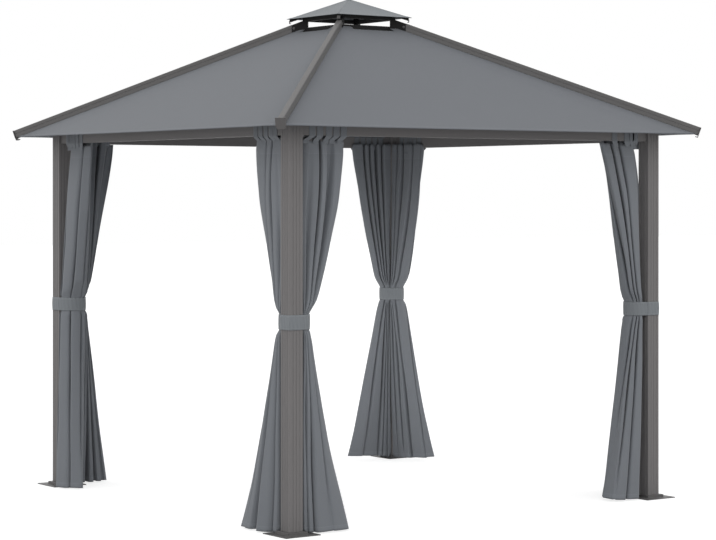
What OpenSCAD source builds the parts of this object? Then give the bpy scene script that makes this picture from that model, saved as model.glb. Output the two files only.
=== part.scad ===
// Square garden gazebo: metal frame, two-tier fabric roof and tied-back curtains.
// Millimetres. The origin is on the ground under the middle of the roof, +Z is up,
// and the front side faces -Y.

/* [Plan] */
// Distance between neighbouring post centres
post_spacing = 2560; // [2200:10:3600]
// Reach of the hip rails past the outer post faces, measured along each side
overhang = 178; // [140:1:260]

/* [Posts] */
// Side of the square post tube
post_w = 84; // [76:1:110]
// Wall of the post tube
post_wall = 3; // [2.5:0.5:5]
// Number of rolled grooves down each post face
groove_n = 3; // [2:1:4]
// Width of a rolled groove
groove_w = 7; // [4:0.5:9]
// Depth of a rolled groove
groove_d = 1.5; // [0.5:0.5:2]
// How far the posts rise above the beams
post_rise = 25; // [15:1:40]

/* [Base plates] */
// Side of the square base plate
base_w = 222; // [180:1:260]
// Thickness of the base plate
base_t = 5; // [3:1:10]
// Height of the collar round the foot of the post
collar_h = 14; // [8:1:16]
// Width of the collar's rim
collar_rim = 20; // [10:1:25]
// Distance of the bolt hole centres from the plate's edges
bolt_edge = 21; // [14:1:24]
// Diameter of the bolt holes
bolt_d = 12; // [8:1:14]

/* [Beams] */
// Height of the beams' undersides above the ground
beam_z = 2117; // [1900:1:2400]
// Height of the beam section
beam_h = 75; // [60:1:90]
// Depth of the beam section
beam_d = 40; // [30:1:46]
// Wall of the beam tube
beam_wall = 2.5; // [1.5:0.5:4]
// Set-back of a beam's outer face from the post's outer face
beam_setback = 13; // [5:1:20]

/* [Roof] */
// Pitch of the roof panels in degrees
roof_pitch = 27.1; // [22:0.1:32]
// Height of the canopy over the post tops at the outer post faces
roof_lift = 28; // [26:1:50]
// Thickness of the canopy cloth
canopy_t = 2; // [1:0.5:3]
// Distance of the canopy hem inside the rail tips
hem_inset = 10; // [6:1:30]
// Half of the square opening at the top of the lower canopy
vent_half = 260; // [245:1:320]

/* [Hip rails] */
// Width of the hip rail section
rail_w = 32; // [30:1:60]
// Height of the hip rail section
rail_h = 51; // [44:1:60]
// Wall of the hip rail
rail_wall = 2.5; // [1.5:0.5:3.5]
// Height of the canopy slot above the rail's underside
slot_z = 4; // [4:0.5:6]
// Depth of the canopy slot
slot_in = 8; // [5:0.5:9]
// Height of the crease rolled along the rail's sides
crease_z = 27; // [24:1:32]
// Width of that crease
crease_w = 3; // [2:0.5:4]
// Depth of that crease
crease_d = 1.2; // [0.5:0.1:1.4]
// Bevel on the rail's upper edges
rail_bevel = 4; // [2:0.5:4]
// Thickness of the plate on the rail's lower end
cap_t = 4; // [3:0.5:6]
// How far that plate stands proud of the rail on each side
cap_rim = 12; // [4:0.5:14]
// Drop of the hook below the rail's underside
hook_drop = 12; // [8:1:20]
// Length of the hook's turned-in lip
hook_lip = 12; // [6:1:16]
// Width of the hook
hook_w = 46; // [30:1:50]

/* [Rail brackets] */
// Thickness of the plate on top of the post
bracket_t = 5; // [3:1:8]
// Width of the saddle under the hip rail
saddle_w = 28; // [20:1:30]
// Length of the saddle along the hip rail
saddle_l = 70; // [50:1:80]

/* [Crown] */
// Distance from the middle of the roof to the crown post centres, along each side
crown_half = 190; // [170:1:210]
// Side of a crown post
crown_post = 30; // [28:1:36]
// Height of the crown's ring bars
ring_h = 25; // [18:1:30]
// Depth of the crown's ring bars
ring_d = 20; // [14:1:20]
// Drop of the lower ring below the line of the canopy
crown_drop = 5; // [3:1:20]
// Clear height between the two rings
vent_gap = 38; // [34:1:60]
// Length of the crown posts below the lower ring
crown_foot = 6; // [2:1:12]
// How far the crown's arms stand inside the hip rails' outline
arm_inset = 1.5; // [0.5:0.5:4]

/* [Top roof] */
// Pitch of the top roof in degrees
top_pitch = 23.6; // [18:0.1:28]
// Half of the top roof's side
top_half = 273; // [255:1:320]
// Width of the top roof's rails
top_rail_w = 20; // [14:1:24]
// Height of the top roof's rails
top_rail_h = 18; // [12:1:24]
// Distance from a top rail's end to the top roof's corner, along each side
top_rail_inset = 14; // [10:1:20]
// Drop of the top rails' end hooks
top_hook = 27; // [15:1:30]
// Thickness of the top rails' end hooks
top_hook_t = 3; // [2:0.5:5]
// Length of the lip on the top rails' end hooks
top_hook_lip = 6; // [4:1:10]
// Side of the hub block at the peak
hub_w = 40; // [32:1:50]
// Height of the hub block
hub_h = 34; // [24:1:40]
// Half of the opening in the cloth at the peak
peak_open = 8; // [7:1:10]
// Radius of the finial's cap
finial_r = 16; // [12:1:22]
// Radius of the finial's stem
stem_r = 5; // [3:0.5:6]
// Height of the finial's cap
finial_h = 12; // [8:1:30]

/* [Curtains] */
// Height of the curtains' lower hem above the ground
curtain_z = 22; // [22:1:80]
// Number of hanging loops on each curtain
tab_n = 5; // [3:1:5]
// Width of a hanging loop
tab_w = 40; // [25:1:44]
// Distance between neighbouring loops
tab_pitch = 50; // [48:1:60]
// Thickness of the cloth in the loops
tab_t = 2; // [1:0.5:3]
// How far the loops hang below the beams
tab_drop = 26; // [10:1:40]
// Gap between the post and the first loop
tab_start = 66; // [40:1:70]
// Length of a curtain along the beam at its head
head_l = 300; // [260:1:320]
// Depth of a curtain at its head
head_d = 62; // [40:1:70]
// Length of a curtain along the ground
foot_l = 330; // [280:1:360]
// Depth of a curtain at the ground
foot_d = 170; // [100:1:180]
// Number of folds round a gathered curtain
folds = 9; // [7:1:12]
// Depth of a fold as a share of the gathered cloth's half size
fold_depth = 0.12; // [0:0.01:0.16]

/* [Tie-backs] */
// Height of the tie-back bands' lower edges
tie_z = 1085; // [900:1:1300]
// Height of the tie-back bands
tie_h = 80; // [50:1:100]
// Thickness of the tie-back bands
tie_t = 3; // [2:0.5:5]
// Radius of the bundle of cloth that a tie-back holds
bundle_r = 80; // [78:1:100]
// Distance of the bundle's middle inside the post's inner faces
bundle_in = 5; // [2:1:26]

/* [Hidden] */
// Gap left beside a seat or a soft piece
fit = 0.3;
// Overshoot of cutting shapes
cut = 1;
// Room left at the inner end of a canopy slot
slot_room = 1;
// Closest that the two curtains of a corner come to the diagonal between them
diagonal_gap = 3;
// Height of the cloth held straight above and below a tie-back
tie_margin = 12;
// Points round each fold and levels up each half of a curtain
fold_points = 4;
levels = 7;
// Place and half size of a curtain in the tied bundle, as shares of the bundle's radius
waist_shares = [0.37, -0.34, 0.375, 0.475];
// How soon a curtain spreads from the tie-back: below 1 sooner, above 1 later
spread_power = 0.85;
// Rest of the top rails above the upper ring
top_rest = 2;

corners = ["front_left", "front_right", "back_right", "back_left"];
sides = ["front", "right", "back", "left"];
side_pieces = ["beam", "canopy", "curtain_left", "curtain_right"];
corner_pieces = ["post", "base_plate", "rail_bracket", "hip_rail", "rail_end_cap", "tie_back"];
crown_pieces = [
    "crown_posts", "crown_lower_ring", "crown_upper_ring",
    "top_rails", "top_rail_hooks", "top_hub", "top_canopy", "finial"
];

metal = "#6b6867";
shaded_metal = "#4d4b4b";
crown_metal = "#2c2c2d";
roof_cloth = "#7d8084";
curtain_cloth = "#686c71";
band_cloth = "#74787d";

half = post_spacing / 2;
outer_face = half + post_w / 2;
roof_half = outer_face + overhang;
post_top = beam_z + beam_h + post_rise;

// Lower roof: the canopy's middle plane, and the line along the rails' undersides
roof_peak = post_top + roof_lift + tan(roof_pitch) * outer_face;
hip = atan(tan(roof_pitch) / sqrt(2));
slot_slope = atan(sin(hip));
rail_under = roof_peak - (slot_z + sin(hip) * rail_w / 2) / cos(hip);
rail_end = (roof_half * sqrt(2) - rail_h * sin(hip)) / cos(hip);
hem_half = roof_half - hem_inset;

function canopy_z(d) = roof_peak - tan(roof_pitch) * d;

// Crown
crown_z = canopy_z(crown_half) - crown_drop;
upper_ring_z = crown_z + vent_gap;
crown_top = upper_ring_z + ring_h + top_rest;
arm_reach = vent_half * sqrt(2) - rail_w / 2;

// Top roof: the cloth's middle plane rides on the upper corners of the top rails
top_hip = atan(tan(top_pitch) / sqrt(2));
top_under = crown_top + tan(top_hip) * crown_half * sqrt(2);
top_ride = top_rail_h + sin(top_hip) * top_rail_w / 2 + fit + canopy_t / 2 / cos(atan(sin(top_hip)));
top_peak = top_under + top_ride / cos(top_hip);
top_skin = canopy_t / 2 / cos(top_pitch);
top_rail_reach = (top_half - top_rail_inset) * sqrt(2);
hub_top = top_peak - top_skin - tan(top_pitch) * hub_w / sqrt(2) - fit;

function top_z(d) = top_peak - tan(top_pitch) * d;

// Curtains: lengths run along the beam from the post's outer corner, depths inwards
curtain_top = beam_z - tab_drop - tab_t - fit;
beam_mid = beam_setback + beam_d / 2;
bundle_mid = post_w + bundle_in;
tie_low = tie_z - tie_margin;
tie_high = tie_z + tie_h + tie_margin;

// Length middle, depth middle, half length and half depth of a curtain's outline
head_shape = [post_w + tab_start - tab_w / 2 + head_l / 2, beam_mid, head_l / 2, head_d / 2];
waist_shape = bundle_r * waist_shares + [bundle_mid, bundle_mid, 0, 0];
foot_shape = [post_w + foot_l / 2 + collar_rim / 2, beam_mid - collar_rim / 2, foot_l / 2, foot_d / 2];

function spread(t) = pow(t, spread_power);
function blend(a, b, t) = a + (b - a) * spread(t);
function foot_level(j) =
    [curtain_z + (tie_low - curtain_z) * j / levels, blend(waist_shape, foot_shape, 1 - j / levels)];
function head_level(j) =
    [tie_high + (curtain_top - tie_high) * j / levels, blend(waist_shape, head_shape, j / levels)];
curtain_levels = concat(
    [for (j = [0:levels]) foot_level(j)],
    [for (j = [0:levels]) head_level(j)]
);

// One point of a fluted outline, kept off the post's face and off the diagonal
function fold_point(shape, z, a) =
    let (swell = 1 + fold_depth * cos(folds * a))
    let (along = max(shape[0] + shape[2] * swell * cos(a), post_w + fit))
    let (deep = min(shape[1] + shape[3] * swell * sin(a), along - diagonal_gap))
    [along, deep, z];

// Places a piece drawn round the front left post at corner k
module at_corner(k) {
    rotate(90 * k)
        translate([-half, -half, 0])
            children();
}

// Places a piece drawn from the front left post's outer corner at corner k
module from_outer_corner(k) {
    at_corner(k)
        translate([-post_w / 2, -post_w / 2, 0])
            children();
}

// Turns +X out along the diagonal over the front left post
module on_diagonal(k) {
    rotate(225 + 90 * k)
        children();
}

// Turns +X down along a hip rail's underside
module along_hip(k) {
    on_diagonal(k)
        translate([0, 0, rail_under])
            rotate([0, hip, 0])
                children();
}

// Turns +X down along a top rail's underside
module along_top_hip(k) {
    on_diagonal(k)
        translate([0, 0, top_under])
            rotate([0, top_hip, 0])
                children();
}

module post_section() {
    groove_pitch = post_w / (groove_n + 1);
    difference() {
        square(post_w, center = true);
        for (face = [0:3])
            rotate(90 * face)
                for (i = [1:groove_n])
                    translate([i * groove_pitch - post_w / 2, -post_w / 2])
                        square([groove_w, 2 * groove_d], center = true);
        square(post_w - 2 * post_wall, center = true);
    }
}

module post(k) {
    color(metal)
        at_corner(k)
            translate([0, 0, base_t])
                linear_extrude(post_top - base_t)
                    post_section();
}

module base_plate(k) {
    bolt_reach = base_w / 2 - bolt_edge;
    color(shaded_metal)
        at_corner(k)
            difference() {
                union() {
                    linear_extrude(base_t)
                        square(base_w, center = true);
                    linear_extrude(base_t + collar_h)
                        square(post_w + 2 * collar_rim, center = true);
                }
                translate([0, 0, base_t])
                    linear_extrude(collar_h + cut)
                        square(post_w + 2 * fit, center = true);
                for (x = [-1, 1], y = [-1, 1])
                    translate([x * bolt_reach, y * bolt_reach, -cut])
                        cylinder(d = bolt_d, h = base_t + 2 * cut, $fn = 48);
            }
}

module beam(k) {
    color(metal)
        rotate(90 * k)
            translate([0, beam_mid - outer_face, beam_z])
                rotate([90, 0, 90])
                    linear_extrude(post_spacing - post_w, center = true)
                        difference() {
                            translate([-beam_d / 2, 0])
                                square([beam_d, beam_h]);
                            translate([beam_wall - beam_d / 2, beam_wall])
                                square([beam_d - 2 * beam_wall, beam_h - 2 * beam_wall]);
                        }
}

// A plate on the post and a saddle whose top lies along the hip rail's underside
module rail_bracket(k) {
    color(shaded_metal)
        difference() {
            union() {
                at_corner(k)
                    translate([0, 0, post_top])
                        linear_extrude(bracket_t)
                            square(post_w, center = true);
                on_diagonal(k)
                    translate([half * sqrt(2) - saddle_l / 2, -saddle_w / 2, post_top])
                        cube([saddle_l, saddle_w, 2 * post_w]);
            }
            along_hip(k)
                translate([0, -post_w, 0])
                    cube([2 * rail_end, 2 * post_w, 4 * post_w]);
        }
}

// Box section with bevelled upper edges, a crease along each side and a canopy slot
module rail_section() {
    difference() {
        polygon([
            [-rail_w / 2, 0],
            [rail_w / 2, 0],
            [rail_w / 2, rail_h - rail_bevel],
            [rail_w / 2 - rail_bevel, rail_h],
            [rail_bevel - rail_w / 2, rail_h],
            [-rail_w / 2, rail_h - rail_bevel]
        ]);
        hollow_z = slot_z + slot_in + rail_wall;
        translate([rail_wall + crease_d - rail_w / 2, hollow_z])
            square([rail_w - 2 * rail_wall - 2 * crease_d, rail_h - rail_bevel - hollow_z]);
        for (s = [0, 1])
            mirror([s, 0]) {
                translate([rail_w / 2, slot_z])
                    rotate(-slot_slope)
                        translate([-slot_in, -canopy_t / 2 - fit])
                            square([2 * slot_in, canopy_t + 2 * fit]);
                translate([rail_w / 2 - crease_d, crease_z])
                    square([2 * crease_d, crease_w]);
            }
    }
}

module hip_rail(k) {
    color(metal)
        difference() {
            along_hip(k)
                rotate([90, 0, 90])
                    linear_extrude(rail_end - cap_t)
                        rail_section();
            on_diagonal(k)
                translate([-rail_w, -rail_w, 0])
                    cube([rail_w + arm_reach, 2 * rail_w, 2 * rail_under]);
        }
}

// Plate across the rail's lower end, drawn down into a hook with a turned-in lip
module rail_end_cap(k) {
    color(shaded_metal)
        along_hip(k)
            translate([rail_end - cap_t, 0, 0]) {
                translate([0, -rail_w / 2 - cap_rim, 0])
                    cube([cap_t, rail_w + 2 * cap_rim, rail_h]);
                translate([0, -hook_w / 2, -hook_drop])
                    cube([cap_t, hook_w, hook_drop]);
                translate([-hook_lip, -hook_w / 2, -hook_drop])
                    cube([hook_lip, hook_w, cap_t]);
            }
}

// One sloping panel whose edges lie in the slots of the two hip rails
module canopy(k) {
    edge = (rail_w / 2 - slot_in + slot_room) * sqrt(2);
    low = hem_half / cos(roof_pitch);
    high = vent_half / cos(roof_pitch);
    color(roof_cloth)
        rotate(180 + 90 * k)
            translate([0, 0, roof_peak])
                rotate([-roof_pitch, 0, 0])
                    linear_extrude(canopy_t, center = true)
                        polygon([
                            [edge - hem_half, low],
                            [hem_half - edge, low],
                            [vent_half - edge, high],
                            [edge - vent_half, high]
                        ]);
}

module crown_post_sections() {
    for (k = [0:3])
        on_diagonal(k)
            translate([crown_half * sqrt(2), 0])
                square(crown_post, center = true);
}

// A block from a crown post to the upper end of its hip rail
module crown_arm(k) {
    arm_w = rail_w - 2 * arm_inset;
    middle = crown_half * sqrt(2);
    intersection() {
        along_hip(k)
            translate([0, -arm_w / 2, arm_inset])
                cube([2 * arm_reach, arm_w, rail_h - 2 * arm_inset]);
        on_diagonal(k)
            translate([middle, -rail_w, 0])
                cube([arm_reach - middle, 2 * rail_w, 2 * roof_peak]);
    }
}

// Four posts with their arms, turned to face the hip rails and cut to the top rails' slope
module crown_posts() {
    foot = crown_z - ring_h - crown_foot;
    color(crown_metal)
        difference() {
            union() {
                translate([0, 0, foot])
                    linear_extrude(crown_top + crown_post - foot)
                        crown_post_sections();
                for (k = [0:3])
                    crown_arm(k);
            }
            for (k = [0:3])
                along_top_hip(k)
                    translate([0, -crown_post, 0])
                        cube([2 * top_half, 2 * crown_post, 4 * crown_post]);
        }
}

// Four bars between the crown posts, their ends notched round the posts
module crown_ring(z) {
    color(crown_metal)
        translate([0, 0, z])
            linear_extrude(ring_h)
                difference() {
                    for (k = [0:3])
                        rotate(90 * k)
                            translate([0, -crown_half])
                                square([2 * crown_half, ring_d], center = true);
                    crown_post_sections();
                }
}

module crown_lower_ring() {
    crown_ring(crown_z - ring_h);
}

module crown_upper_ring() {
    crown_ring(upper_ring_z);
}

// Four rails from the hub out over the crown posts
module top_rails() {
    color(crown_metal)
        for (k = [0:3])
            intersection() {
                along_top_hip(k)
                    translate([0, -top_rail_w / 2, 0])
                        cube([2 * top_half, top_rail_w, top_rail_h]);
                on_diagonal(k)
                    translate([hub_w / 2, -top_rail_w, 0])
                        cube([top_rail_reach - hub_w / 2, 2 * top_rail_w, 2 * top_peak]);
            }
}

// A hanging plate with a small lip on each top rail's end
module top_rail_hooks() {
    top = top_under - tan(top_hip) * top_rail_reach;
    low = top_z(top_half) - top_hook;
    color(shaded_metal)
        for (k = [0:3])
            on_diagonal(k)
                translate([top_rail_reach, -top_rail_w / 2, low]) {
                    cube([top_hook_t, top_rail_w, top - low + top_rail_h / 2]);
                    translate([-top_hook_lip, 0, 0])
                        cube([top_hook_lip, top_rail_w, top_hook_t]);
                }
}

module top_hub() {
    color(crown_metal)
        translate([0, 0, hub_top - hub_h])
            linear_extrude(hub_h)
                rotate(45)
                    square(hub_w, center = true);
}

// Four-sided frustum whose slope lies a given height above the cloth's middle plane
module top_frustum(lift, low_d, high_d) {
    low = top_z(low_d) + lift;
    translate([0, 0, low])
        rotate(45)
            cylinder(
                h = top_z(high_d) + lift - low,
                r1 = low_d * sqrt(2),
                r2 = high_d * sqrt(2),
                $fn = 4
            );
}

// One sewn four-sided cover, open at the peak for the finial's stem
module top_canopy() {
    color(roof_cloth)
        difference() {
            top_frustum(top_skin, top_half, peak_open);
            top_frustum(-top_skin, top_half + cut, peak_open - cut);
            cube([2 * peak_open, 2 * peak_open, 4 * top_peak], center = true);
        }
}

// Domed cap on a stem that stands on the hub
module finial() {
    seat = top_z(peak_open) + top_skin + fit;
    color(metal)
        translate([0, 0, seat])
            rotate_extrude($fn = 64) {
                translate([0, hub_top - seat])
                    square([stem_r, seat - hub_top]);
                intersection() {
                    circle(r = finial_r);
                    square([finial_r, finial_h]);
                }
            }
}

// Loops of cloth round the beam and, below them, the gathered and tied-in curtain
module curtain() {
    ring = folds * fold_points;
    rows = len(curtain_levels);
    color(curtain_cloth) {
        for (i = [0:tab_n - 1])
            translate([post_w + tab_start - tab_w / 2 + i * tab_pitch, 0, 0])
                hanging_loop();
        polyhedron(
            points = [
                for (level = curtain_levels)
                    for (i = [0:ring - 1])
                        fold_point(level[1], level[0], 360 * i / ring)
            ],
            faces = concat(
                [[for (i = [0:ring - 1]) i]],
                [[for (i = [ring - 1:-1:0]) (rows - 1) * ring + i]],
                [
                    for (j = [0:rows - 2])
                        for (i = [0:ring - 1])
                            let (n = (i + 1) % ring)
                            [j * ring + i, (j + 1) * ring + i, (j + 1) * ring + n, j * ring + n]
                ]
            ),
            convexity = 6
        );
    }
}

// A flat loop of cloth that hangs over the beam and below it
module hanging_loop() {
    low = beam_z - tab_drop;
    high = beam_z + beam_h + fit;
    difference() {
        translate([0, beam_setback - fit - tab_t, low - tab_t])
            cube([tab_w, beam_d + 2 * fit + 2 * tab_t, high - low + 2 * tab_t]);
        translate([-cut, beam_setback - fit, low])
            cube([tab_w + 2 * cut, beam_d + 2 * fit, high - low]);
    }
}

module curtain_left(k) {
    from_outer_corner(k)
        curtain();
}

module curtain_right(k) {
    from_outer_corner(k + 1)
        mirror([1, -1, 0])
            curtain();
}

// Outline round the post and the bundle of cloth beside it
module tie_outline(grow) {
    hull() {
        translate([-grow, -grow])
            square(post_w + 2 * grow);
        translate([bundle_mid, bundle_mid])
            circle(r = bundle_r + grow, $fn = 48);
    }
}

module tie_back(k) {
    color(band_cloth)
        from_outer_corner(k)
            translate([0, 0, tie_z])
                linear_extrude(tie_h)
                    difference() {
                        tie_outline(fit + tie_t);
                        tie_outline(fit);
                    }
}

for (k = [0:3]) {
    post(k);
    base_plate(k);
    rail_bracket(k);
    hip_rail(k);
    rail_end_cap(k);
    tie_back(k);
    beam(k);
    canopy(k);
    curtain_left(k);
    curtain_right(k);
}
crown_posts();
crown_lower_ring();
crown_upper_ring();
top_rails();
top_rail_hooks();
top_hub();
top_canopy();
finial();
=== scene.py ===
"""Looks for the square garden gazebo: painted steel frame, taut cloth roof and tied-back curtains.

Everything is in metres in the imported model's frame: the origin is on the ground under the roof's middle,
+Z is up and the front faces -Y. Corner k is the front left corner turned by k quarter turns.
"""
import math

import bpy
import numpy as np
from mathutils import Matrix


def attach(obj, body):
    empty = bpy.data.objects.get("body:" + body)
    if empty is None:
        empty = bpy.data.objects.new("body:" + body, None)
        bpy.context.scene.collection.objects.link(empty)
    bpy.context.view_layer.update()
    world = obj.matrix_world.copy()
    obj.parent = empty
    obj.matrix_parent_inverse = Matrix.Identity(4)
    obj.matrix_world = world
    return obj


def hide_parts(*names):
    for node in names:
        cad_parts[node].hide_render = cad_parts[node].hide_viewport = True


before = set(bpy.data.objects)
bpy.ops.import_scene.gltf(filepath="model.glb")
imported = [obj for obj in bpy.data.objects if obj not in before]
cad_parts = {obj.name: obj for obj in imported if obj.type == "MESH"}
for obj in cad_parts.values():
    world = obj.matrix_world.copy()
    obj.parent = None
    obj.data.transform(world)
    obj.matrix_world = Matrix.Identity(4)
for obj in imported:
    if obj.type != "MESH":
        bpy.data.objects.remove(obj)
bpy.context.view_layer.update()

CORNERS = ("front_left", "front_right", "back_right", "back_left")
SIDES = ("front", "right", "back", "left")

# Sizes of the frame that the cloth is cut to
POST = 0.084
OUTER = 1.322
BEAM_Z = 2.117
BEAM_TOP = 2.192
BEAM_FRONT = 0.013
BEAM_BACK = 0.053
BEAM_MID = 0.033
ROOF_PITCH = math.radians(27.1)
ROOF_PEAK = 2.217 + 0.028 + math.tan(ROOF_PITCH) * OUTER
HEM_HALF = 1.490
VENT_HALF = 0.260
TONGUE_HALF = 0.226
PANEL_EDGE = 0.009 * math.sqrt(2)
TOP_PITCH = math.radians(23.6)
TOP_PEAK = 2.9906
TOP_HALF = 0.273
PEAK_OPEN = 0.008
TIE_LOW, TIE_HIGH = 1.085, 1.165
BUNDLE_MID = 0.089
BUNDLE_R = 0.080

# Cloth: thicknesses, the hem's width, and a curtain's cut size
ROOF_THICK = 0.0016
CURTAIN_THICK = 0.0012
TAPE_THICK = 0.0018
HEM = 0.022
CURTAIN_FLAT = (0.92, 2.07)


# Meshes

def turned(points, k):
    """The points turned by k quarter turns about the vertical through the roof's middle."""
    x, y, z = np.moveaxis(np.asarray(points, float), -1, 0)
    c, s = ((1, 0), (0, 1), (-1, 0), (0, -1))[k % 4]
    return np.stack([c * x - s * y, s * x + c * y, z], axis=-1)


def quads(rows, cols):
    """Corner indices of a rows x cols grid's cells, as one array of quads."""
    i, j = np.meshgrid(np.arange(rows - 1), np.arange(cols - 1), indexing="ij")
    a = (i * cols + j).ravel()
    return np.stack([a, a + 1, a + cols + 1, a + cols], axis=1)


def surface_piece(name, patches, finish, thickness=None):
    """A mesh object from grids of points: each patch is (points, uv, flip), with uv in metres of flat material."""
    points, uvs, faces, start = [], [], [], 0
    for grid, uv, flip in patches:
        rows, cols = grid.shape[:2]
        cells = quads(rows, cols)[:, ::-1] if flip else quads(rows, cols)
        faces.append(cells + start)
        points.append(grid.reshape(-1, 3))
        uvs.append(np.broadcast_to(uv, grid.shape[:2] + (2,)).reshape(-1, 2))
        start += rows * cols
    points, uvs, faces = np.concatenate(points), np.concatenate(uvs), np.concatenate(faces)
    mesh = bpy.data.meshes.new(name)
    mesh.vertices.add(len(points))
    mesh.vertices.foreach_set("co", points.astype(np.float32).ravel())
    mesh.loops.add(faces.size)
    mesh.loops.foreach_set("vertex_index", faces.astype(np.int32).ravel())
    mesh.polygons.add(len(faces))
    mesh.polygons.foreach_set("loop_start", np.arange(0, faces.size, 4, dtype=np.int32))
    mesh.polygons.foreach_set("use_smooth", np.ones(len(faces), bool))
    mesh.uv_layers.new(name="cloth").data.foreach_set("uv", uvs[faces.ravel()].astype(np.float32).ravel())
    mesh.update(calc_edges=True)
    mesh.materials.append(finish)
    piece = bpy.data.objects.new(name, mesh)
    bpy.context.scene.collection.objects.link(piece)
    if thickness:
        wall = piece.modifiers.new("cloth thickness", "SOLIDIFY")
        wall.thickness = thickness
        wall.offset = 0
    return piece


def smooth(x):
    """0 below 0, 1 above 1, and a cubic ease between."""
    x = np.clip(x, 0, 1)
    return x * x * (3 - 2 * x)


def through(knots, values, x):
    """A smooth curve through values at rising knots, one column per fold, taken at x.

    Cubic Hermite pieces; the slope at a knot is the harmonic mean of its two neighbours' slopes where they agree
    in sign and zero where they don't, so the curve never swings past its knots.
    """
    knots, values = np.asarray(knots, float), np.asarray(values, float)
    gap = np.diff(knots)[:, None]
    slope = np.diff(values, axis=0) / gap
    inner = np.where(slope[1:] * slope[:-1] > 0,
                     2 * slope[1:] * slope[:-1] / np.where(slope[1:] + slope[:-1] == 0, 1, slope[1:] + slope[:-1]), 0)
    tangent = np.concatenate([slope[:1], inner, slope[-1:]])
    i = np.clip(np.searchsorted(knots, x, side="right") - 1, 0, len(knots) - 2)
    h = gap[i]
    t = ((x - knots[i])[:, None]) / h
    return ((1 + 2 * t) * (1 - t) ** 2 * values[i] + t * (1 - t) ** 2 * h * tangent[i]
            + t * t * (3 - 2 * t) * values[i + 1] + t * t * (t - 1) * h * tangent[i + 1])


# Shader expressions

class Value:
    """A socket in a node tree; arithmetic on it adds Math nodes."""

    def __init__(self, tree, socket):
        self.tree, self.socket = tree, socket

    def math(self, operation, *others):
        return node(self.tree, "ShaderNodeMath", {"operation": operation}, dict(enumerate((self, *others))))

    def __add__(self, other): return self.math("ADD", other)
    __radd__ = __add__
    def __mul__(self, other): return self.math("MULTIPLY", other)
    __rmul__ = __mul__
    def __sub__(self, other): return self.math("SUBTRACT", other)
    def __rsub__(self, other): return self.math("MULTIPLY", -1.0) + other
    def __abs__(self): return self.math("ABSOLUTE")


def node(tree, kind, settings=None, inputs=None, output=0):
    """Adds a node: its settings first, then its sockets by name or index, each a Value or a constant.

    It gives the named output as a Value, or the node itself where output is None.
    """
    made = tree.nodes.new(kind)
    for key, value in (settings or {}).items():
        setattr(made, key, value)
    for key, value in (inputs or {}).items():
        socket = made.inputs[key]
        if isinstance(value, Value):
            tree.links.new(value.socket, socket)
        elif hasattr(value, "__len__") and len(value) == 3 and socket.type == "RGBA":
            socket.default_value = (*value, 1)
        else:
            socket.default_value = value
    return made if output is None else Value(tree, made.outputs[output])


class Finish:
    """A material in the making, with its shader's own sockets set to constants first."""

    def __init__(self, name, **constants):
        self.material = bpy.data.materials.new(name)
        self.material.use_nodes = True
        self.tree = self.material.node_tree
        self.shader = self.tree.nodes["Principled BSDF"]
        for key, value in constants.items():
            self.shader.inputs[key.replace("_", " ")].default_value = value

    def node(self, kind, settings=None, inputs=None, output=0):
        return node(self.tree, kind, settings, inputs, output)

    def feed(self, **links):
        for key, value in links.items():
            self.tree.links.new(value.socket, self.shader.inputs[key.replace("_", " ")])
        return self.material

    def noise(self, vector, scale, detail=2.0, roughness=0.5):
        return self.node("ShaderNodeTexNoise", None,
                         {"Vector": vector, "Scale": scale, "Detail": detail, "Roughness": roughness})

    def blend(self, share, first, second):
        return self.node("ShaderNodeMix", {"data_type": "RGBA"}, {"Factor": share, 6: first, 7: second}, output=2)

    def bump(self, height, strength, distance, **normal):
        return self.node("ShaderNodeBump", None,
                         {"Strength": strength, "Distance": distance, "Height": height, **normal})


def painted_metal(name, colour, edge, rough=0.46, shine=0.42):
    """Powder-coated steel: a fine pebbled skin, faint clouding, and paler paint on the corners, partly as wear and
    partly as a painted highlight.
    """
    f = Finish(name, Specular_IOR_Level=shine)
    place = f.node("ShaderNodeTexCoord", output="Object")
    cloud = f.noise(place, 2.3, 3.0)
    grain = f.noise(place, 900.0, 2.0, 0.6)
    rounded = f.node("ShaderNodeBevel", {"samples": 4}, {"Radius": 0.003})
    true = f.node("ShaderNodeNewGeometry", output="Normal")
    facing = f.node("ShaderNodeVectorMath", {"operation": "DOT_PRODUCT"}, {0: rounded, 1: true}, output="Value")
    # Paler colour along the corners: partly rubbed paint, partly a painted highlight on the edges
    rub_and_highlight_mask = f.node("ShaderNodeMapRange", None, {0: facing, 1: 1.0, 2: 0.72, 3: 0.0, 4: 1.0})
    wear_and_highlight = rub_and_highlight_mask * (cloud * 0.7 + 0.15)
    dark, light = (tuple(c * share for c in colour) for share in (0.93, 1.07))
    tone = f.blend(cloud * 0.75 + grain * 0.25, dark, light)
    f.feed(Base_Color=f.blend(wear_and_highlight, tone, edge),
           Roughness=cloud * 0.12 + grain * 0.08 + (rough - 0.1),
           Normal=f.bump(grain, 0.25, 0.0004, Normal=rounded))
    return f.material


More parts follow.
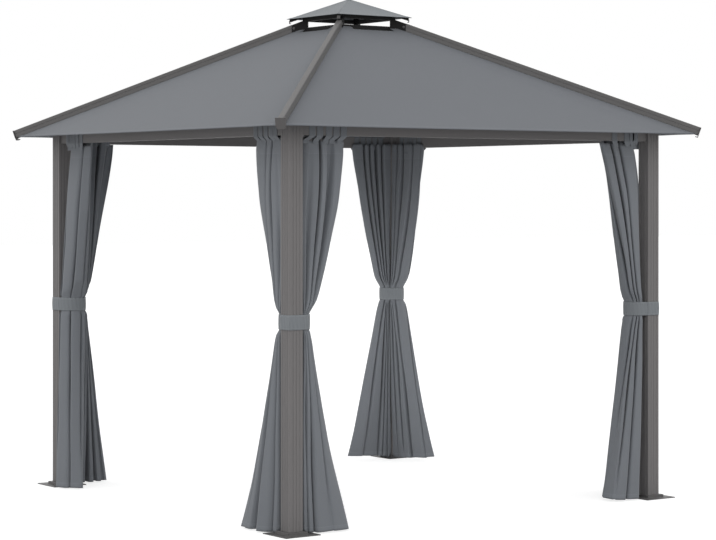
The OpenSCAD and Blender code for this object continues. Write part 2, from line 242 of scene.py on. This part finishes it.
def woven_cloth(name, colour, thread, hems, stitch):
    """Plain-weave polyester: crossed threads, soft clouding, and doubled hems with a row of stitches.

    The cloth map holds metres of flat cloth. hems lists the heights v on it where a doubled hem ends, with 1 where the
    hem lies below that height and -1 where it lies above.
    """
    f = Finish(name, Roughness=0.86, Sheen_Weight=0.15, Sheen_Roughness=0.5, Specular_IOR_Level=0.25)
    flat = f.node("ShaderNodeUVMap", {"uv_map": "cloth"})
    axes = f.node("ShaderNodeSeparateXYZ", None, {0: flat})
    u, v = axes, Value(f.tree, axes.socket.node.outputs[1])
    warp = (u * (2 * math.pi / thread)).math("SINE")
    weft = (v * (2 * math.pi / thread)).math("SINE")
    weave = warp * weft * 0.5 + 0.5
    cloud = f.noise(flat, 3.1, 3.0)
    slub = f.noise(flat, 160.0, 2.0)
    dark, light, doubled, sewn = (tuple(c * share for c in colour) for share in (0.94, 1.06, 1.12, 1.35))
    tone = f.blend(cloud * 0.6 + slub * 0.25 + weave * 0.15, dark, light)
    height = weave * 0.6 + slub * 0.4
    fold_ease, seam_in, seam_half = 0.0012, 0.003, 0.0011
    for place, side in hems:
        fold = f.node("ShaderNodeMapRange", {"interpolation_type": "SMOOTHSTEP"},
                      {0: v * side, 1: place * side - fold_ease, 2: place * side + fold_ease, 3: 1.0, 4: 0.0})
        seam = abs(v - (place - side * seam_in)).math("LESS_THAN", seam_half)
        stitches = seam * (u * (2 * math.pi / stitch)).math("SINE").math("GREATER_THAN", -0.45)
        tone = f.blend(stitches * 0.5, f.blend(fold * 0.35, tone, doubled), sewn)
        height = height + fold * 1.6 + stitches * 1.4 - seam * 0.9
    f.feed(Base_Color=tone, Roughness=cloud * 0.1 + 0.8, Normal=f.bump(height, 0.35, 0.0006))
    return f.material


# Each paint's second colour is its paler corner colour, for worn paint and a painted highlight
frame_paint = painted_metal("frame_paint", (0.200, 0.192, 0.192), (0.226, 0.217, 0.216), 0.56, 0.20)
rail_paint = painted_metal("rail_paint", (0.120, 0.116, 0.115), (0.144, 0.139, 0.138))
# Nearly black: the crown's dark steel, made darker still as painted shade under the top cover
crown_paint_and_shade = painted_metal("crown_paint_and_shade", (0.017, 0.0165, 0.0165), (0.030, 0.029, 0.029), 0.6, 0.16)
base_paint = painted_metal("base_paint", (0.118, 0.114, 0.114), (0.160, 0.154, 0.153))
cap_paint = painted_metal("cap_paint", (0.092, 0.088, 0.088), (0.120, 0.115, 0.114))
roof_cloth = woven_cloth("roof_cloth", (0.139, 0.149, 0.166), 0.0022, [(HEM, 1)], 0.006)
cover_cloth = woven_cloth("cover_cloth", (0.200, 0.216, 0.231), 0.0022, [(HEM, 1)], 0.006)
curtain_cloth = woven_cloth("curtain_cloth", (0.202, 0.215, 0.235), 0.0020, [(0.030, 1), (2.035, -1)], 0.006)
band_cloth = woven_cloth("band_cloth", (0.214, 0.230, 0.246), 0.0020, [(0.010, 1), (0.070, -1)], 0.005)


# Roof cloth

def roof_panel(k):
    """One taut panel between two hip rails.

    At a distance d from the roof's middle it is 2 (d - edge) wide and lies at peak - tan(pitch) d. Its upper edge is at
    the vent, with a tongue up beside each crown arm, past the rails' ends. It sags by the product of a parabola across
    and a half sine down the slope, and ripples faintly along the pull of its corners.
    """
    sag_depth, ripple, hem_rise, clear_of_arm = 0.010, 0.004, 0.0018, 0.0125
    w = np.linspace(-1, 1, 121)[None, :]
    top = VENT_HALF - (VENT_HALF - TONGUE_HALF) * smooth((np.abs(w) - 0.62) / 0.11)
    d = top + (HEM_HALF - top) * np.concatenate([np.linspace(0, 0.03, 8), np.linspace(0.03, 1, 84)[1:]])[:, None]
    down = np.clip((d - VENT_HALF) / (HEM_HALF - VENT_HALF), 0, 1)
    x = w * (d - PANEL_EDGE - clear_of_arm * smooth((VENT_HALF - d) / 0.005))
    across = 1 - w ** 2
    sag = sag_depth * across * (0.25 + 0.75 * np.sin(np.pi * down) ** 0.8)
    to_rail = 1 - np.abs(w)
    pull = np.exp(-(to_rail / 0.22) ** 2) * across * ripple * np.sin(9 * np.pi * to_rail + 5 * down)
    lift = hem_rise * smooth((d - HEM_HALF + HEM) / 0.004)
    n = -sag + pull * down + lift
    y = -d - n * math.sin(ROOF_PITCH)
    z = ROOF_PEAK - math.tan(ROOF_PITCH) * d + n * math.cos(ROOF_PITCH)
    grid = np.stack(np.broadcast_arrays(x, y, z), axis=-1)
    uv = np.stack(np.broadcast_arrays(x, (HEM_HALF - d) / math.cos(ROOF_PITCH)), axis=-1)
    piece = surface_piece(f"{SIDES[k]}_roof_panel", [(turned(grid, k), uv, False)], roof_cloth, ROOF_THICK)
    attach(piece, "root")
    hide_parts(f"{SIDES[k]}_canopy")


def top_cover():
    """One sewn four-sided cover: a square ring of half side d at peak - tan(pitch) d, dished between its four seams."""
    dish, hem_rise = 0.006, 0.0015
    d = np.linspace(PEAK_OPEN, TOP_HALF, 46)[:, None]
    side = np.linspace(0, 4, 161)[None, :]
    k = np.minimum(side.astype(int), 3)
    w = 2 * (side - k) - 1
    across = 1 - w ** 2
    down = d / TOP_HALF
    n = -dish * across * np.sin(np.pi * down) + hem_rise * smooth((d - TOP_HALF + HEM) / 0.004)
    flat = np.stack(np.broadcast_arrays(w * d, -d - n * math.sin(TOP_PITCH),
                                        TOP_PEAK - math.tan(TOP_PITCH) * d + n * math.cos(TOP_PITCH)), axis=-1)
    turn = np.broadcast_to(k, flat.shape[:2])
    grid = np.select([(turn == q)[..., None] for q in range(4)], [turned(flat, q) for q in range(4)])
    uv = np.stack(np.broadcast_arrays(w * d, (TOP_HALF - d) / math.cos(TOP_PITCH)), axis=-1)
    piece = surface_piece("top_cover", [(grid, uv, False)], cover_cloth, ROOF_THICK)
    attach(piece, "root")
    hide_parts("top_canopy")


# Curtains

HEAD_Z = 2.087
HEM_Z = 0.007
TIE_MID = (TIE_LOW + TIE_HIGH) / 2
# Heights down a curtain and, at each, the share of the way that a fold has gone from the head or foot to the tie
UPPER = ((HEAD_Z, 0.0), (2.02, 0.02), (1.79, 0.19), (1.54, 0.43), (1.35, 0.65), (1.24, 0.80), (TIE_HIGH - 0.004, 1.0))
LOWER = ((TIE_LOW + 0.004, 1.0), (1.006, 0.91), (0.875, 0.785), (0.61, 0.545), (0.35, 0.315), (HEM_Z, 0.0))

# Each curtain's folds, in millimetres from the post's outer corner. A fold is a flat of cloth that runs along the beam
# from its first number to its second, its third number in from the post's outer face (a fourth where it slants). The
# lists run from the edge by the post, over inner and outer flats in turn, to the free edge. "lines" are the places in
# degrees round the tied bundle where one seen flat meets the next; "inside" is set where the inner flats are the broad
# ones. "hangs" tells how long the curtain keeps its width above the tie: above 1 later, below 1 sooner. "swing" is how
# far the edge by the post moves to it just under the head, and over how many corners that fades. "head" lifts the head
# at the post's side and at the free side, "hem" lifts the foot at the free side, and "loops" are the hanging loops'
# places along the beam, all in metres.
CURTAINS = {
    "front_curtain_left": dict(
        top=((100, 104, 88), (110, 150, 80, 50), (156, 168, 46, 36), (176, 208, 30, 8), (214, 218, 86), (221, 252, 4),
             (264, 294, 50), (304, 362, 0), (374, 380, 56)),
        foot=((100, 104, 86), (106, 118, 12), (121, 123, 88), (126, 158, -6), (161, 164, 80), (158, 250, -30),
              (256, 262, -34), (268, 372, -38, -20), (392, 398, 40)),
        lines=(-88, -84, -75, -64), hangs=1.2, swing=(0, 4), head=(0, 0), hem=0.006,
        loops=(0.153, 0.203, 0.262, 0.310, 0.357)),
    "left_curtain_right": dict(
        top=((92, 96, 88), (100, 140, 4), (144, 148, 3), (152, 192, 2, -2), (196, 200, 84), (203, 248, 2),
             (253, 257, 26), (262, 357, 0), (364, 368, 66)),
        foot=((98, 102, 84), (104, 130, -10, -24), (136, 142, -4), (150, 228, -40, -78), (236, 240, 50),
              (286, 340, -58, -54), (346, 350, -54), (356, 414, -53, -48), (421, 425, 20)),
        lines=(-88, -80, -64, -40), hangs=1.3, swing=(60, 13), head=(0.02, 0.02), hem=0.006,
        loops=(0.156, 0.197, 0.247, 0.298, 0.346)),
    "front_curtain_right": dict(
        top=((170, 174, 64), (182, 286, 12, 4), (291, 294, 84), (299, 349, 4), (353, 356, 84), (361, 434, 2),
             (437, 433, 50), (428, 392, 58, 64), (388, 384, 76)),
        foot=((100, 106, 84), (166, 262, -26, -18), (266, 269, 80), (276, 340, -26, 0), (346, 350, 4),
              (354, 362, 6, 10), (364, 367, 86), (334, 354, 64, 98), (350, 344, 112)),
        lines=(-70, -55, -45, -30), hangs=0.62, swing=(75, 4), head=(0, 0.028), hem=0.018,
        loops=(0.176, 0.206, 0.244, 0.340)),
    "left_curtain_left": dict(
        top=((180, 184, 66), (188, 192, 20), (194, 196, 14), (198, 345, 8, 2), (350, 353, 84), (357, 418, 2, 40),
             (420, 416, 52), (412, 392, 58, 64), (388, 320, 70, 76)),
        foot=((100, 106, 84), (140, 150, -50), (152, 156, -52), (162, 258, -66, -40), (260, 264, 30),
              (266, 312, -34, 22), (312, 308, 40), (304, 280, 44, 60), (276, 210, 64, 74)),
        lines=(-88, -86, -36, 14), hangs=0.9, swing=(80, 4), head=(0, 0.02), hem=0,
        loops=(0.176, 0.212, 0.250, 0.296, 0.344)),
    "back_curtain_right": dict(
        top=((120, 126, 80), (140, 156, 16), (164, 214, 80), (218, 224, 4), (228, 282, 60, 74), (286, 290, 4),
             (292, 340, 84), (352, 398, 44, 36), (404, 408, 56)),
        foot=((104, 110, 76), (130, 144, -8), (158, 190, 80), (196, 202, -34), (208, 246, 84), (250, 254, -40),
              (262, 300, 84), (308, 316, -12), (326, 350, 66, 60)),
        lines=(36, 26, 16, 6, -5), inside=True, hangs=0.75, swing=(0, 4), head=(0.028, 0.028), hem=0),
    "back_curtain_left": dict(
        top=((94, 160, 91, 87), (164, 167, 10), (172, 206, 84), (212, 216, 6), (230, 262, 84), (266, 269, 6),
             (276, 306, 84), (310, 313, 6), (316, 398, 82, 72)),
        foot=((94, 120, 91, 89), (124, 127, 10), (130, 150, 86), (154, 157, 10), (160, 186, 84, 78), (188, 190, 40),
              (194, 308, 72, 60), (312, 315, 20), (318, 428, 78, 46)),
        lines=(41, 36, 32, 28, -60), inside=True, hangs=1.0, swing=(0, 4), head=(0.028, 0.028), hem=0.026),
    "right_curtain_right": dict(
        top=((94, 136, 91, 86), (139, 142, 10), (145, 194, 84), (200, 204, 10), (210, 306, 82, 81), (310, 313, 6),
             (316, 388, 80, 72), (390, 392, 66), (394, 402, 70, 66)),
        foot=((94, 150, 91, 86), (154, 158, 84), (164, 220, 84), (224, 228, 82), (234, 290, 82, 80), (294, 297, 0),
              (302, 384, 76, 38), (388, 391, 20), (394, 418, 26, -18)),
        lines=(41, 35, 28, -48, -60), inside=True, hangs=1.1, swing=(0, 4), head=(0.028, 0.028), hem=0.026),
    "right_curtain_left": dict(
        top=((196, 202, 52), (210, 226, 8), (236, 256, 78), (264, 276, 6), (286, 306, 78), (314, 326, 6),
             (338, 384, 72), (394, 402, 24), (410, 416, 52)),
        foot=((104, 110, 76), (126, 150, -8), (164, 196, 84), (212, 236, -38), (252, 290, 86), (306, 330, -40),
              (346, 396, 76), (408, 420, -10), (430, 436, 34)),
        lines=(34, 18, 2, -14, -30), inside=True, hangs=1.0, swing=(20, 4), head=(0.028, 0.028), hem=0.01),
}
USUAL_LOOPS = (0.155, 0.205, 0.255, 0.305, 0.355)
LOOP_WIDTH = 0.041
LOOP_REACH = 0.02
# Millimetres: how far in or out a narrow flat stands that laps behind its neighbours, the width that it then has at
# least, and the width of the side hems that are turned in
DEEP_FOLD = 44
LEAST_FLAT = 34
TURNED_IN = 44
# Share of the way to the next corner at which a rounded corner begins
ROUNDING = 0.42


def fold_corners(plan, inside):
    """The start, middle and end of each flat in turn, as arrays of along and in.

    A narrow flat that stands well in or out of both its neighbours is widened, so it laps behind them and leaves only
    a slit. Both side hems are turned in behind the flat next to them.
    """
    a0, a1, d0, d1 = np.array([flat if len(flat) == 4 else (*flat, flat[2]) for flat in plan], float).T
    step = np.abs(d0[1:] - d1[:-1])
    stands = np.minimum(np.append(0, step), np.append(step, 0)) > DEEP_FOLD
    lap = np.where(a1 < a0, -0.5, 0.5) * stands * np.maximum(LEAST_FLAT - np.abs(a1 - a0), 0)
    a0, a1, back = a0 - lap, a1 + lap, -12 if inside else 12
    a0, a1 = np.array([a0[0] + TURNED_IN, *a0, a1[-1] - 5]), np.array([a0[0] + 8, *a1, a1[-1] - TURNED_IN])
    d0, d1 = (np.array([d0[0] + back, *d, d1[-1] + back]) for d in (d0, d1))
    return np.stack([a0, (a0 + a1) / 2, a1], axis=1).ravel(), np.stack([d0, (d0 + d1) / 2, d1], axis=1).ravel()


def tied_corners(lines, inside):
    """The same corners drawn into the bundle, by angles round it from line to line.

    Where the outer flats are seen they take its whole rim and the others lie by its middle. Where the inner ones are
    seen they take the rim's inner part up to the last line, and the outer ones share the rest of it.
    """
    rim, core, hem, slit = 92, 28, 16, 1.5
    if inside:
        ends = np.array([44, *lines])
        outer = np.linspace(-88, lines[-1], 5)
        even = np.stack([ends[:-1] - slit, (ends[:-1] + ends[1:]) / 2, ends[1:] + slit], axis=1)
        odd = np.stack([outer[:-1] + slit, (outer[:-1] + outer[1:]) / 2, outer[1:] - slit], axis=1)
    else:
        ends = np.array([*lines, 40])
        even = np.stack([ends] * 3, axis=1)
        odd = np.stack([ends[:-1] + slit, (ends[:-1] + ends[1:]) / 2, ends[1:] - slit], axis=1)
    turn, reach = np.zeros((11, 3)), np.full((11, 1), float(rim))
    turn[1:-1:2], turn[2:-1:2] = even, odd
    turn[0], turn[-1] = turn[1], turn[-2]
    reach[1:-1:2] = rim if inside else core
    reach[[0, -1]] = hem
    turn = np.radians(turn)
    return tuple((BUNDLE_MID * 1000 + reach * way(turn)).ravel() for way in (np.cos, np.sin))


def rounded_corners(ends):
    """The line through corners on the last axis, with each corner drawn as a parabola.

    The parabola runs between the points that lie ROUNDING of the way to the corner before and to the corner after.
    """
    u = np.linspace(0, 1, 4)
    corner, before, after = ends[..., 1:-1, None], ends[..., :-2, None], ends[..., 2:, None]
    start, stop = corner + (before - corner) * ROUNDING, corner + (after - corner) * ROUNDING
    bends = (1 - u) ** 2 * start + 2 * u * (1 - u) * corner + u ** 2 * stop
    return np.concatenate([ends[..., :1], bends.reshape(*ends.shape[:-1], -1), ends[..., -1:]], axis=-1)


def curtain_sheet(shape, seed):
    """The gathered cloth as a grid (height, across) of along, in and z, in metres.

    Each corner of a fold runs from its place at the head to its place in the tied bundle and out again to the foot, by
    the shares in UPPER and LOWER, and wanders a little on slow sines. Across each height a line with rounded corners
    joins all the corners. Near the head the outer folds close up to the beam's middle, and the inner ones stand up
    behind the beam. At the tie the cloth is pressed into the bundle's circle, and fine puckers run out of it.
    """
    rng = np.random.default_rng(seed)
    inside = shape.get("inside", False)
    (head_a, head_i), (foot_a, foot_i) = (fold_corners(shape[end], inside) for end in ("top", "foot"))
    tie_a, tie_i = tied_corners(shape["lines"], inside)
    z_up, share_up = np.array(UPPER).T
    z_low, share_low = np.array(LOWER).T
    up, low = share_up[:, None] ** shape["hangs"], share_low[:, None]
    heights = np.concatenate([z_up, z_low])

    # Under the beam: folds close up to its middle, apart from those that are tucked behind it
    beam, behind, behind_ease = BEAM_MID * 1000, 58, 14
    fall = (0.3 + 0.7 * smooth((HEAD_Z - z_up) / 0.15))[:, None]
    tucked = smooth((head_i - behind) / behind_ease)
    hang_i = beam + (head_i - beam) * np.maximum(fall, tucked)
    swing, reach = shape["swing"]
    by_post = 1 - smooth((np.arange(head_a.size) - 3) / reach)
    near_a = head_a - swing * by_post * smooth((HEAD_Z - z_up) / (0.12 + 0.012 * reach))[:, None]
    along = np.concatenate([near_a + (tie_a - near_a) * up, foot_a + (tie_a - foot_a) * low])
    depth = np.concatenate([hang_i * (1 - up) + tie_i * up, foot_i + (tie_i - foot_i) * low])

    # Every corner's way down, and its slow wandering
    t = np.linspace(0, 1, 150)
    z = HEAD_Z + (HEM_Z - HEAD_Z) * t
    a, i = through(-heights, along, -z), through(-heights, depth, -z)
    t, z = t[:, None], z[:, None]
    free = smooth(t / 0.15) * smooth(np.abs(z - TIE_MID) / 0.35)
    place = np.linspace(0, 1, a.shape[1])[None, :]
    p = rng.uniform(0, 2 * np.pi, 4)
    a = a + free * 2.5 * np.sin(5.1 * z + 7 * place + p[0])
    i = i + free * (3.0 * np.sin(4.3 * z + 9 * place + p[1]) + 1.6 * np.sin(11 * z + 15 * place + p[2]))

    # The cloth between the corners, pressed in at the tie and kept off the post and its neighbour
    off_post, apart = 85.8, 3
    along, depth = rounded_corners(a), rounded_corners(i)
    s = rounded_corners(np.arange(a.shape[1], dtype=float))
    near = np.exp(-((z - TIE_MID) / 0.12) ** 2)
    depth = depth + near * 1.2 * np.sin(s * 2.9 + 9 * z + p[3])
    middle = BUNDLE_MID * 1000
    limit = (BUNDLE_R + 0.6 * np.maximum(np.abs(z - TIE_MID) - 0.044, 0)) * 1000 - 0.8
    press = np.minimum(1, limit / np.maximum(np.hypot(along - middle, depth - middle), 1))
    along, depth = middle + (along - middle) * press, middle + (depth - middle) * press
    along = np.maximum(along, off_post)
    depth = np.minimum(depth, along - apart)

    # The uneven head and hem, the hem standing on the base plate's collar by the post
    across = s / s.max()
    post_lift, free_lift = shape["head"]
    lift = post_lift + (free_lift - post_lift) * across + 0.03 * np.interp(s, np.arange(tucked.size), tucked)
    over_collar = 0.014 * (1 - smooth((along - 104) / 10))
    wave = 0.0015 * np.sin(s * 0.9 + p[0]) + over_collar + shape["hem"] * across ** 1.5
    return np.stack([along / 1000, depth / 1000, z + lift * (1 - t) ** 6 + wave * t ** 8], axis=-1)


def hung(local, k, mirrored):
    """Local (along, in, z) at corner k, put in the frame; a mirrored curtain runs along the other beam."""
    a, i, z = np.moveaxis(local, -1, 0)
    x, y = (i, a) if mirrored else (a, i)
    return turned(np.stack([x - OUTER, y - OUTER, z], axis=-1), k)


def strap(along, width, lean, head_in):
    """A loop of tape round the beam, as a grid (way round, across its width).

    Its path rises from the curtain's head, goes up the beam's outer face, over its top and down the inner face, and
    back to the head; it is carried along the beam over the tape's width, leaning a little towards the post below.
    """
    ease, edge, lap = 0.0016, 0.003, 0.014
    front, back, over = BEAM_FRONT - ease, BEAM_BACK + ease, BEAM_TOP + ease
    rise = [(head_in - ease, HEAD_Z - lap), (head_in - ease, HEAD_Z + 0.002), (front, BEAM_Z - 0.001),
            (front, BEAM_Z + 0.005), (front, BEAM_TOP - edge), (front + edge, over)]
    drop = [(back - edge, over), (back, BEAM_TOP - edge), (back, BEAM_Z + 0.005),
            (back, BEAM_Z - 0.001), (head_in + ease, HEAD_Z + 0.002), (head_in + ease, HEAD_Z - lap)]
    path = np.array([*rise, (BEAM_MID, over), *drop])
    run = np.concatenate([[0], np.cumsum(np.linalg.norm(np.diff(path, axis=0), axis=1))])
    way = np.linspace(0, run[-1], 72)
    line = through(run, path, way)
    across = np.linspace(-0.5, 0.5, 7)
    below = smooth((BEAM_Z - line[:, 1]) / 0.03)[:, None]
    a = along + across[None, :] * width * (1 - 0.12 * below) - lean * below
    i = np.broadcast_to(line[:, :1], a.shape)
    z = np.broadcast_to(line[:, 1:], a.shape)
    uv = np.stack(np.broadcast_arrays(across[None, :] * width, way[:, None] + 0.5), axis=-1)
    return np.stack([a, i, z], axis=-1), uv


def curtain(k, name, mirrored, seed):
    """A curtain and its hanging loops at corner k."""
    shape = CURTAINS[name]
    local = curtain_sheet(shape, seed)
    flat = CURTAIN_FLAT
    width = np.linspace(0, flat[0], local.shape[1])[None, :]
    uv = np.stack(np.broadcast_arrays(width, local[:, :1, 2] - HEM_Z), axis=-1)
    cloth = surface_piece(f"{name}_cloth", [(hung(local, k, mirrored), uv, mirrored)], curtain_cloth, CURTAIN_THICK)
    rng = np.random.default_rng(seed + 500)
    straps = []
    for middle in shape.get("loops", USUAL_LOOPS):
        lean = rng.uniform(0.012, 0.024)
        close = np.abs(local[0, :, 0] - middle + lean) < LOOP_REACH
        head_in = local[0, close, 1].min() if close.any() else BEAM_MID
        grid, tape = strap(middle, LOOP_WIDTH, lean, head_in)
        straps.append((hung(grid, k, mirrored), tape, mirrored))
    loops = surface_piece(f"{name}_loops", straps, curtain_cloth, TAPE_THICK)
    for piece in (cloth, loops):
        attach(piece, "root")
    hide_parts(name)


def tie_band(k):
    """A flat band drawn round post and bundle.

    It is the tight outline of a square with rounded corners and a circle, carried up the band's height, with a half
    sine of swell halfway up and faint gathers round it.
    """
    gap, post_edge = 0.0022, 0.004
    angle = math.atan2(BUNDLE_MID, BUNDLE_MID - POST)
    reach = math.hypot(BUNDLE_MID, BUNDLE_MID - POST)
    start = angle + math.pi + math.acos(BUNDLE_R / reach) - 2 * math.pi
    turn = np.linspace(start, math.pi / 2 - start, 60)
    quarter = np.linspace(0, 0.5 * np.pi, 6)

    def bend(middle, radius, turn):
        """Points of a circle at the angles in turn."""
        return np.array(middle) + radius * np.stack([np.cos(turn), np.sin(turn)], axis=1)

    arc = bend((BUNDLE_MID, BUNDLE_MID), BUNDLE_R + gap, turn)
    near, far, radius = post_edge, POST - post_edge, post_edge + gap
    corners = [bend((near, far), radius, 0.5 * np.pi + quarter), bend((near, near), radius, np.pi + quarter),
               bend((far, near), radius, 1.5 * np.pi + quarter)[:4]]
    outline = np.concatenate([arc, *corners, arc[:1]])
    run = np.concatenate([[0], np.cumsum(np.linalg.norm(np.diff(outline, axis=0), axis=1))])
    way = np.linspace(0, run[-1], 181)
    line = np.stack([np.interp(way, run, outline[:, c]) for c in (0, 1)], axis=1)
    h = np.linspace(0, 1, 13)[:, None]
    centre = np.array([POST / 2, POST / 2]) * 0.4 + BUNDLE_MID * 0.6
    out = line - centre
    out = out / np.linalg.norm(out, axis=1, keepdims=True)
    swell = 0.0012 * np.sin(np.pi * h) + 0.0008 * np.sin(23 * way[None, :] / run[-1] * 2 * np.pi + 3 * h)
    a = line[None, :, 0] + out[None, :, 0] * swell
    i = line[None, :, 1] + out[None, :, 1] * swell
    z = np.broadcast_to(TIE_LOW + (TIE_HIGH - TIE_LOW) * h, a.shape)
    uv = np.stack(np.broadcast_arrays(way[None, :], (TIE_HIGH - TIE_LOW) * h), axis=-1)
    piece = surface_piece(f"{CORNERS[k]}_tie_band", [(hung(np.stack([a, i, z], axis=-1), k, False), uv, False)],
                          band_cloth, TAPE_THICK)
    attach(piece, "root")
    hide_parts(f"{CORNERS[k]}_tie_back")


for k in range(4):
    roof_panel(k)
    tie_band(k)
    curtain(k, f"{SIDES[k]}_curtain_left", False, 11 + k)
    curtain((k + 1) % 4, f"{SIDES[k]}_curtain_right", True, 31 + k)
top_cover()


# Bolts through the crown's arms

def bolt_head(middle, outward, up):
    """A washer and a hexagon head.

    They are one profile of reach and rise, turned about outward, with the head's rings drawn out to six corners.
    """
    washer = 0.0085
    reach = np.array([washer, washer, 0.0060, 0.0060, 0.0052, 0.0])[:, None]
    rise = np.array([0.0, 0.0016, 0.0016, 0.0056, 0.0062, 0.0062])[:, None]
    turn = np.linspace(0, 2 * np.pi, 37)[None, :]
    six = 1 / np.cos(turn % (np.pi / 3) - np.pi / 6)
    reach = reach * np.where(reach < washer, six, 1)
    side = np.cross(outward, up)
    return (middle + rise[..., None] * outward
            + (reach * np.cos(turn))[..., None] * side + (reach * np.sin(turn))[..., None] * up)


def crown_bolts():
    """A bolt head on each side of each crown arm, near the hip rail's upper end."""
    hip = math.atan(math.tan(ROOF_PITCH) / math.sqrt(2))
    from_peak, half_width, height = 0.338, 0.0145, 2.8164
    across = np.array([1, -1, 0]) / math.sqrt(2)
    middle = np.array([-from_peak / math.sqrt(2), -from_peak / math.sqrt(2), height])
    slope = np.array([-math.cos(hip) / math.sqrt(2), -math.cos(hip) / math.sqrt(2), -math.sin(hip)])
    heads = [bolt_head(middle + way * half_width * across, way * across, slope) for way in (-1, 1)]
    patches = [(turned(head, k), np.zeros(2), False) for k in range(4) for head in heads]
    piece = surface_piece("crown_bolts", patches, cap_paint)
    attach(piece, "root")


crown_bolts()


# Finishes of the metal pieces

# The crown, top rails and hub take the nearly black paint, which is partly painted shade under the top cover
METAL = {"base_plate": base_paint, "rail_end_cap": cap_paint, "rail_bracket": base_paint, "hip_rail": rail_paint,
         "top_rail_hooks": cap_paint, "crown": crown_paint_and_shade, "top_rail": crown_paint_and_shade, "top_hub": crown_paint_and_shade,
         "finial": cap_paint}
for name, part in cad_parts.items():
    paint = next((p for key, p in METAL.items() if key in name), frame_paint)
    for place in part.material_slots:
        place.material = paint


# Floor, light and camera

def studio_floor():
    """A white floor that keeps a soft shadow, and throws back half of the light that falls on it."""
    edges = np.array([-60.0, 60.0])
    grid = np.stack([*np.meshgrid(edges, edges), np.zeros((2, 2))], axis=-1)
    paper = bpy.data.materials.new("floor_paper")
    paper.use_nodes = True
    tree = paper.node_tree
    tree.nodes.clear()
    camera_ray = node(tree, "ShaderNodeLightPath", output="Is Camera Ray")
    glossy_ray, through_ray = (Value(tree, camera_ray.socket.node.outputs[name])
                               for name in ("Is Glossy Ray", "Is Transmission Ray"))
    seen = (camera_ray + glossy_ray + through_ray).math("MINIMUM", 1.0)
    matt = node(tree, "ShaderNodeBsdfDiffuse", None, {"Color": (0.50, 0.50, 0.50)})
    shade = node(tree, "ShaderNodeBsdfDiffuse", None, {"Color": (0.45, 0.45, 0.45)})
    white = node(tree, "ShaderNodeEmission", None, {"Color": (1, 1, 1), "Strength": 0.75})
    paper_seen = node(tree, "ShaderNodeAddShader", None, {0: shade, 1: white})
    mixed = node(tree, "ShaderNodeMixShader", None, {0: seen, 1: matt, 2: paper_seen})
    node(tree, "ShaderNodeOutputMaterial", None, {0: mixed}, output=None)
    floor = surface_piece("studio_floor", [(grid, np.zeros(2), False)], paper)


def placed(name, data, location=(0, 0, 0), turn=(0, 0, 0)):
    """A lamp or camera in the scene, with its turn in degrees."""
    thing = bpy.data.objects.new(name, data)
    thing.location = location
    thing.rotation_euler = [math.radians(angle) for angle in turn]
    bpy.context.scene.collection.objects.link(thing)
    return thing


def studio_light():
    """A white room all round, a broad faint lamp from the front, and a soft one under the roof.

    The soft one stands in for the light that the ground throws on the far corner's curtains.
    """
    world = bpy.data.worlds.new("studio_room")
    bpy.context.scene.world = world
    world.use_nodes = True
    tree = world.node_tree
    tree.nodes.clear()
    room = node(tree, "ShaderNodeBackground", None, {"Color": (1, 1, 1), "Strength": 1.0})
    node(tree, "ShaderNodeOutputWorld", None, {0: room}, output=None)

    key = bpy.data.lights.new("key_lamp", "SUN")
    key.energy = 0.2
    key.angle = math.radians(60)
    placed("key_lamp", key, turn=(76, 0, -46))

    fill = bpy.data.lights.new("fill_lamp", "AREA")
    fill.energy = 2.6
    fill.size = 1.0
    fill.spread = math.radians(80)
    placed("fill_lamp", fill, (-0.2, -0.2, 0.95), (90, 0, -45)).visible_camera = False


def photo_camera():
    """The camera that was fitted to the frame's straight edges: level, with its view shifted down."""
    lens = bpy.data.cameras.new("photo_camera")
    lens.sensor_fit = "HORIZONTAL"
    lens.sensor_width = 36
    lens.lens = 113.86
    lens.shift_y = -0.1057
    lens.clip_end = 300
    bpy.context.scene.camera = placed("photo_camera", lens, (-7.9786, -11.2419, 1.8033), (90, 0, -35.593))
    bpy.context.scene.view_settings.view_transform = "Standard"


studio_floor()
studio_light()
photo_camera()
